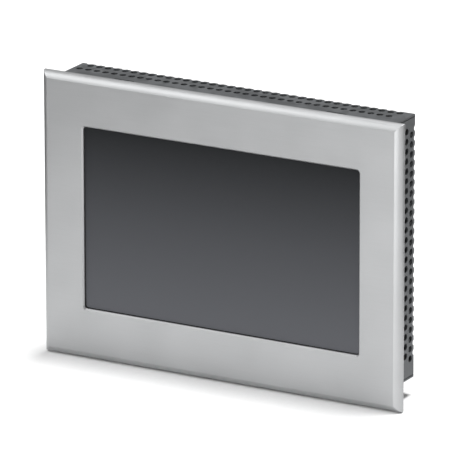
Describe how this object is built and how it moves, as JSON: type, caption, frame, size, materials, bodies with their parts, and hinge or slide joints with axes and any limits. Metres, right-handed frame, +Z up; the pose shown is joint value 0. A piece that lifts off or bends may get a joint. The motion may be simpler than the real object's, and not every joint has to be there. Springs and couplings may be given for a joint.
{
  "type": "hmi touch panel",
  "caption": "Panel-mount touch screen with a bevelled metal bezel, a perforated sheet-steel rear housing and sockets along its lower edge.",
  "frame": {"origin": "centre of the cabinet cut-out, on the seat plane where the gasket meets the cabinet panel", "axes": "+Z up; +Y back into the cabinet, away from the person at the screen; +X to that person's right"},
  "size_m": [0.203, 0.0348, 0.147],
  "materials": {
    "bezel_aluminium": "satin anodised, fine-blasted",
    "screen_film": "hard-coated, anti-glare",
    "touch_glass": "float glass with a clear conductive coat",
    "black_tape": "double-sided acrylic tape",
    "foam_rubber": "closed-cell EPDM foam",
    "flex_film": "amber polyimide film",
    "ivory_plastic": "moulded nylon",
    "tray_steel": "rolled stainless sheet",
    "display_glass": "polarised display cell",
    "diffuser_film": "white PET film",
    "clear_acrylic": "clear acrylic sheet",
    "led_board": "white lamp strip",
    "zinc_steel": "electro-galvanised sheet",
    "zinc_screws": "bright zinc plated",
    "pillar_brass": "turned brass, nickel flash",
    "board_laminate": "green solder mask on glass-epoxy",
    "chip_epoxy": "moulded epoxy",
    "thermal_silicone": "filled silicone",
    "sink_aluminium": "black anodised extrusion",
    "ferrite": "pressed ferrite",
    "capacitor_cans": "drawn aluminium cans",
    "black_nylon": "moulded nylon",
    "cell_steel": "stainless can",
    "connector_steel": "tin-plated steel",
    "contact_gold": "gold-flashed copper alloy",
    "white_nylon": "moulded nylon",
    "card_plastic": "moulded card",
    "button_plastic": "moulded ABS",
    "switch_plastic": "moulded PBT",
    "terminal_plastic": "moulded polyamide",
    "clamp_brass": "nickel-plated brass",
    "terminal_steel": "zinc-plated steel",
    "housing_steel": "galvanised sheet, dull grey",
    "plate_film": "blank silver film"
  },
  "bodies": {
    "panel": {"front_bezel": "bezel_aluminium", "touch_film": "screen_film", "touch_glass": "touch_glass", "touch_adhesive": "black_tape", "display_seal": "foam_rubber", "panel_gasket": "foam_rubber", "touch_tail": "flex_film", "display_cable": "flex_film", "touch_socket": "ivory_plastic", "display_socket": "ivory_plastic", "lcd_tray": "tray_steel", "lcd_glass": "display_glass", "diffuser_sheet": "diffuser_film", "light_guide": "clear_acrylic", "led_strip": "led_board", "chassis_plate": "zinc_steel", "chassis_screws": "zinc_screws", "board_standoffs": "zinc_screws", "board_screws": "zinc_screws", "cover_screws": "zinc_screws", "serial_posts": "zinc_screws", "earth_insert": "zinc_screws", "corner_pillars": "pillar_brass", "mainboard": "board_laminate", "processor": "chip_epoxy", "memory_chips": "chip_epoxy", "flash_chip": "chip_epoxy", "thermal_pad": "thermal_silicone", "heat_sink": "sink_aluminium", "power_inductor": "ferrite", "capacitors": "capacitor_cans", "battery_holder": "black_nylon", "serial_body": "black_nylon", "reset_switch": "black_nylon", "coin_cell": "cell_steel", "ethernet_socket": "connector_steel", "usb_host_shell": "connector_steel", "usb_device_shell": "connector_steel", "serial_shell": "connector_steel", "card_slot": "connector_steel", "ethernet_contacts": "contact_gold", "serial_pins": "contact_gold", "usb_host_tongue": "white_nylon", "usb_device_tongue": "white_nylon", "dip_switch": "switch_plastic", "terminal_block": "terminal_plastic", "terminal_clamps": "clamp_brass", "rear_cover": "housing_steel", "cover_top": "housing_steel", "cover_bottom": "housing_steel", "cover_left": "housing_steel", "cover_right": "housing_steel", "rating_plate": "plate_film"},
    "memory_card": {"memory_card": "card_plastic"},
    "reset_button": {"reset_button": "button_plastic"},
    "dip_slider_1": {"dip_slider_1": "white_nylon"},
    "dip_slider_2": {"dip_slider_2": "white_nylon"},
    "dip_slider_3": {"dip_slider_3": "white_nylon"},
    "dip_slider_4": {"dip_slider_4": "white_nylon"},
    "terminal_screw_1": {"terminal_screw_1": "terminal_steel"},
    "terminal_screw_2": {"terminal_screw_2": "terminal_steel"},
    "terminal_screw_3": {"terminal_screw_3": "terminal_steel"}
  },
  "joints": [
    {"name": "card_pull", "type": "slide", "parent": "panel", "child": "memory_card", "axis": [0, 0, -1], "range_m": [0, 0.012]},
    {"name": "reset_press", "type": "slide", "parent": "panel", "child": "reset_button", "axis": [0, 0, 1], "range_m": [0, 0.0005], "stiffness_N_per_m": 2000, "springref_m": -0.0002},
    {"name": "dip_1_slide", "type": "slide", "parent": "panel", "child": "dip_slider_1", "axis": [0, 1, 0], "range_m": [0, 0.0017]},
    {"name": "dip_2_slide", "type": "slide", "parent": "panel", "child": "dip_slider_2", "axis": [0, 1, 0], "range_m": [0, 0.0017]},
    {"name": "dip_3_slide", "type": "slide", "parent": "panel", "child": "dip_slider_3", "axis": [0, 1, 0], "range_m": [0, 0.0017]},
    {"name": "dip_4_slide", "type": "slide", "parent": "panel", "child": "dip_slider_4", "axis": [0, 1, 0], "range_m": [0, 0.0017]},
    {"name": "terminal_1_turn", "type": "hinge", "parent": "panel", "child": "terminal_screw_1", "pos_m": [-0.07108, 0.0212, -0.0615], "axis": [0, 1, 0], "continuous": true},
    {"name": "terminal_2_turn", "type": "hinge", "parent": "panel", "child": "terminal_screw_2", "pos_m": [-0.066, 0.0212, -0.0615], "axis": [0, 1, 0], "continuous": true},
    {"name": "terminal_3_turn", "type": "hinge", "parent": "panel", "child": "terminal_screw_3", "pos_m": [-0.06092, 0.0212, -0.0615], "axis": [0, 1, 0], "continuous": true}
  ]
}
